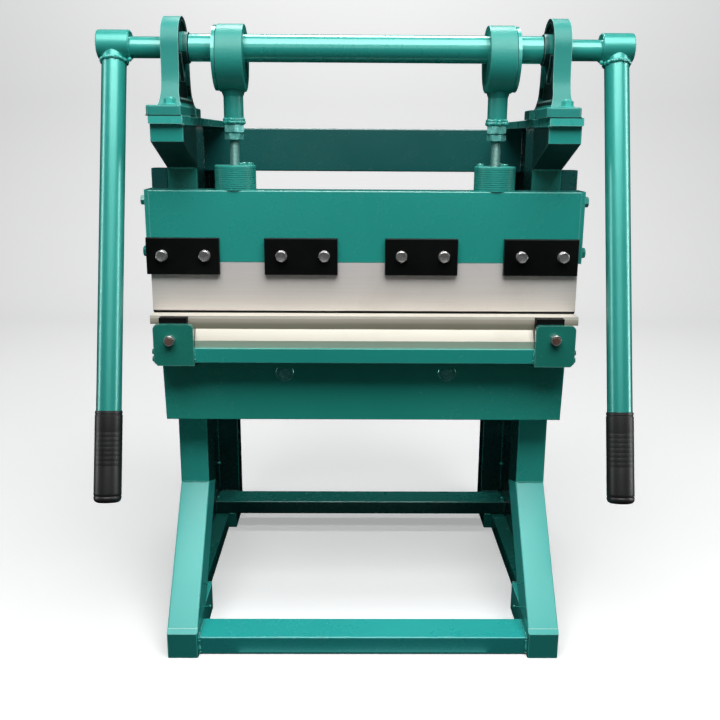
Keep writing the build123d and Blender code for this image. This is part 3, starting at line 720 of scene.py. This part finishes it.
for s, side in ((-1, "left"), (1, "right")):
    paths = [
        ([(s * 241, 50.7, 211.3), (s * 279.5, 50.7, 211.3)], 1.1),                     # column to brace
        ([(s * 238.3, 54, 210), (s * 238.3, 108, 191.5)], 1.1),
        ([(s * 241, 50.4, 687.6), (s * 279.5, 50.4, 687.6)], 1.5),                      # arm to column
        ([(s * 238.5, -44, 745.8), (s * 238.5, 49, 745.8)], 0.9),                       # arm to top plate
        ([(s * 239.5, -46.3, 745.7), (s * 266, -46.3, 745.7)], 1.3),
        ([(s * 238.3, -51, 95.0), (s * 238.3, -3, 64.0)], 0.9),                         # brace side
        ([(s * 240, 42.0, 44.4), (s * 276, 42.0, 44.4)], 1.2),                          # rear edge of the foot
        ([(s * 238.3, -74, 66.0), (s * 238.3, 10, 19.5)], 1.0),
        ([(s * 237.4, -92.6, 2.5), (s * 237.4, -92.6, 26.0)], 2.4),                     # foot to front tube
        ([(s * 237.6, -90, 28.4), (s * 237.6, -42, 28.4)], 1.5),
        ([(s * 239.5, 341.6, 28.2), (s * 252, 341.6, 28.2)], 1.3),
        ([(s * 236.2, -42.2, 427), (s * 236.2, -42.2, 444)], 1.5),                      # rail to bracket
        ([(s * 240, -0.4, 421.3), (s * 286, -0.4, 421.3)], 1.4),                        # bracket to beam
    ]
    welds(side + "_frame_welds", paths, TEAL_WELD, "frame")
    rear = [
        ([(s * 276.4, 341.6, 30), (s * 276.4, 341.6, 51)], 1.2),                        # rear tube to side plate
        ([(s * 276.4, 345, 53.6), (s * 276.4, 392, 53.6)], 1.2),
        ([(s * 242, 395.4, 53.6), (s * 274, 395.4, 53.6)], 1.4),                        # rear tube to rear column
        ([(s * 276.6, 395.5, 58), (s * 276.6, 395.5, 668)], 0.8),                       # rear column to side plate
        ([(s * 276.4, 341.6, 676), (s * 276.4, 341.6, 744)], 1.2),                      # crossbeam to side plate
    ]
    # the rear seams take the darker rear copy, painted shade
    welds(side + "_rear_welds", rear, TEAL_REAR, "frame")
    # painted shade: a thin near-black strip along the front of the bearing base stands in for the shadow gap under it
    bm = bmesh.new()
    fx = {-1: (-285.0, -239.6), 1: (233.6, 279.0)}[s]
    for k, (ya, yb) in enumerate(((-53.25, -52.6),)):
        lo = [bm.verts.new(P(x, y, z)) for x, y, z in ((fx[0], ya, 756.5), (fx[1], ya, 756.5), (fx[1], yb, 756.3), (fx[0], yb, 756.3))]
        hi = [bm.verts.new(P(x, y, z)) for x, y, z in ((fx[0], ya, 757.5), (fx[1], ya, 757.5), (fx[1], yb, 757.7), (fx[0], yb, 757.7))]
        bm.faces.new(lo[::-1])
        join_rings(bm, lo, hi)
        bm.faces.new(hi)
    finish_mesh(side + "_bearing_shadow_strip", bm, BLACK_BLOCK, "frame", 35.0)
    bm = bmesh.new()
    blob(bm, s * 238.4, 11, 19.5, 2.6)
    blob(bm, s * 237.6, -92.4, 27.4, 2.6)
    blob(bm, s * 274.6, 358, 53.8, 3.6)
    blob(bm, s * 276.0, 394.6, 112, 2.6)
    blob(bm, s * 239.0, -46.2, 745.8, 2.4)
    finish_mesh(side + "_weld_drops", bm, TEAL_WELD, "frame", 60.0)

    # rod: bead round the lower end of the shank
    welds(side + "_rod_weld", [(circle_path((s * 181.5, 27, 750.0), 12.9, "z"), 2.9),
                               (circle_path((s * 181.5, 27, 753.6), 12.7, "z"), 2.5)], TEAL_WELD, side + "_rod")

    # lever: saddle seam under the hub and seam round the shaft at the hub's inner end
    t = math.atan2(0.284, 0.959)
    d = Vector((0, -math.sin(t), -math.cos(t)))
    ex, ey = Vector((1, 0, 0)), Vector((1, 0, 0)).cross(d)
    saddle = []
    for i in range(48):
        a = 2 * math.pi * i / 48
        off = ex * (16.6 * math.cos(a)) + ey * (16.6 * math.sin(a))
        # distance along the lever at which this line leaves the hub cylinder
        oy, oz = off.y, off.z - 3.0
        b = oy * d.y + oz * d.z
        c = oy * oy + oz * oz - 19.6 ** 2
        q = -b + math.sqrt(max(0.0, b * b - c))
        q = 0.1 * q + 0.9 * 19.8
        saddle.append((s * 340 + off.x, 27 + off.y + d.y * q, 847 + off.z + d.z * q))
    hub = [(saddle + [saddle[0]], 2.8), (circle_path((s * 318.0, 27, 849.5), 17.6, "x") + [(s * 318.0, 44.6, 849.5)], 0.9)]
    welds(side + "_lever_welds", hub, TEAL_WELD, "crankshaft")
    bm = bmesh.new()
    blob(bm, s * 317.2, 14, 830.5, 3.0)
    blob(bm, s * 318.4, 18, 866.0, 1.8)
    finish_mesh(side + "_lever_drops", bm, TEAL_WELD, "crankshaft", 60.0)

# ---------------------------------------------------------------
# Floor, light and camera
# ---------------------------------------------------------------
FLOOR = Mat("studio_floor")
FLOOR.set(Roughness=0.9)
FLOOR.bsdf.inputs["Specular IOR Level"].default_value = 0.0
FLOOR.bsdf.inputs["Emission Color"].default_value = (1.0, 1.0, 1.0, 1.0)
FLOOR.bsdf.inputs["Emission Strength"].default_value = 0.35
FLOOR.to(FLOOR.ramp(FLOOR.noise(1.3, 2.0), [(0.3, srgb(240, 240, 240)), (0.7, srgb(243, 243, 243))]), "Base Color")
bm = bmesh.new()
W, D0, D1, R, H = 6.0, -4.0, 2.2, 0.9, 5.0
prof = [(D0, 0.0), (D1, 0.0)]
prof += [(D1 + R * math.sin(a), R - R * math.cos(a)) for a in [math.radians(x) for x in range(6, 91, 6)]]
prof += [(D1 + R, H)]
rows = [[bm.verts.new((x, y, z)) for y, z in prof] for x in (-W, W)]
for i in range(len(prof) - 1):
    bm.faces.new((rows[0][i], rows[1][i], rows[1][i + 1], rows[0][i + 1]))
me = bpy.data.meshes.new("studio_sweep")
bm.to_mesh(me)
bm.free()
for p in me.polygons:
    p.use_smooth = True
sweep = bpy.data.objects.new("studio_sweep", me)
me.materials.append(FLOOR.m)
bpy.context.scene.collection.objects.link(sweep)
sweep.visible_glossy = False
sweep.visible_diffuse = False


def area(name, loc, target, sx, sy, power, color=(1, 1, 1)):
    li = bpy.data.lights.new(name, "AREA")
    li.shape = "RECTANGLE"
    li.size, li.size_y, li.energy, li.color = sx, sy, power, color
    ob = bpy.data.objects.new(name, li)
    ob.location = loc
    ob.rotation_euler = (Vector(target) - Vector(loc)).to_track_quat("-Z", "Y").to_euler()
    bpy.context.scene.collection.objects.link(ob)
    return ob


def glossy_only(ob):
    ob.visible_diffuse = False


area("key_soft", (0.1, -1.0, 2.1), (0, -0.05, 0.45), 2.0, 1.4, 47)
area("backdrop_light", (0, 1.3, 3.2), (0, 3.1, 1.3), 1.2, 0.5, 36)
glossy_only(area("brace_glow", (0, -1.55, 2.1), (0, -0.2, 0.1), 2.0, 0.8, 7.5))
glossy_only(area("shaft_glow", (0, 0.75, 2.3), (0, -0.1, 0.85), 1.0, 0.6, 27))
glossy_only(area("front_glow", (0, -1.9, 1.25), (0, -0.2, 0.6), 1.4, 0.7, 3.5))
glossy_only(area("right_strip", (1.9, -0.35, 0.95), (0, 0, 0.55), 0.4, 1.9, 24))
glossy_only(area("left_strip", (-1.9, -0.35, 0.95), (0, 0, 0.55), 0.4, 1.9, 16))

bounce = area("floor_bounce", (0, -0.06, 0.004), (0, -0.06, 1.0), 0.36, 0.36, 0.45)
bounce.visible_camera = False
bounce.visible_glossy = False

world = bpy.data.worlds.new("studio")
bpy.context.scene.world = world
world.use_nodes = True
world.node_tree.nodes["Background"].inputs["Color"].default_value = (0.90, 0.95, 1.0, 1)
world.node_tree.nodes["Background"].inputs["Strength"].default_value = 0.075
world.cycles_visibility.glossy = False
bpy.context.scene.view_settings.view_transform = "Standard"
bpy.context.scene.view_settings.look = "None"

CAM_F = 881.67
yaw, pitch, roll = math.radians(0.5598), math.radians(14.0867), math.radians(-0.3485)
fw = Vector((math.sin(yaw) * math.cos(pitch), math.cos(yaw) * math.cos(pitch), -math.sin(pitch)))
rt = Vector((math.cos(yaw), -math.sin(yaw), 0))
up = rt.cross(fw)
r = rt * math.cos(roll) - up * math.sin(roll)
u = rt * math.sin(roll) + up * math.cos(roll)
cam_data = bpy.data.cameras.new("camera")
cam_data.sensor_width = 36.0
cam_data.lens = CAM_F / 720.0 * 36.0
cam = bpy.data.objects.new("camera", cam_data)
rot = Matrix((r, u, -fw)).transposed()
cam.matrix_world = Matrix.Translation(P(-18.067, -1233.537, 729.053)) @ rot.to_4x4()
bpy.context.scene.collection.objects.link(cam)
bpy.context.scene.camera = cam

bpy.context.view_layer.update()
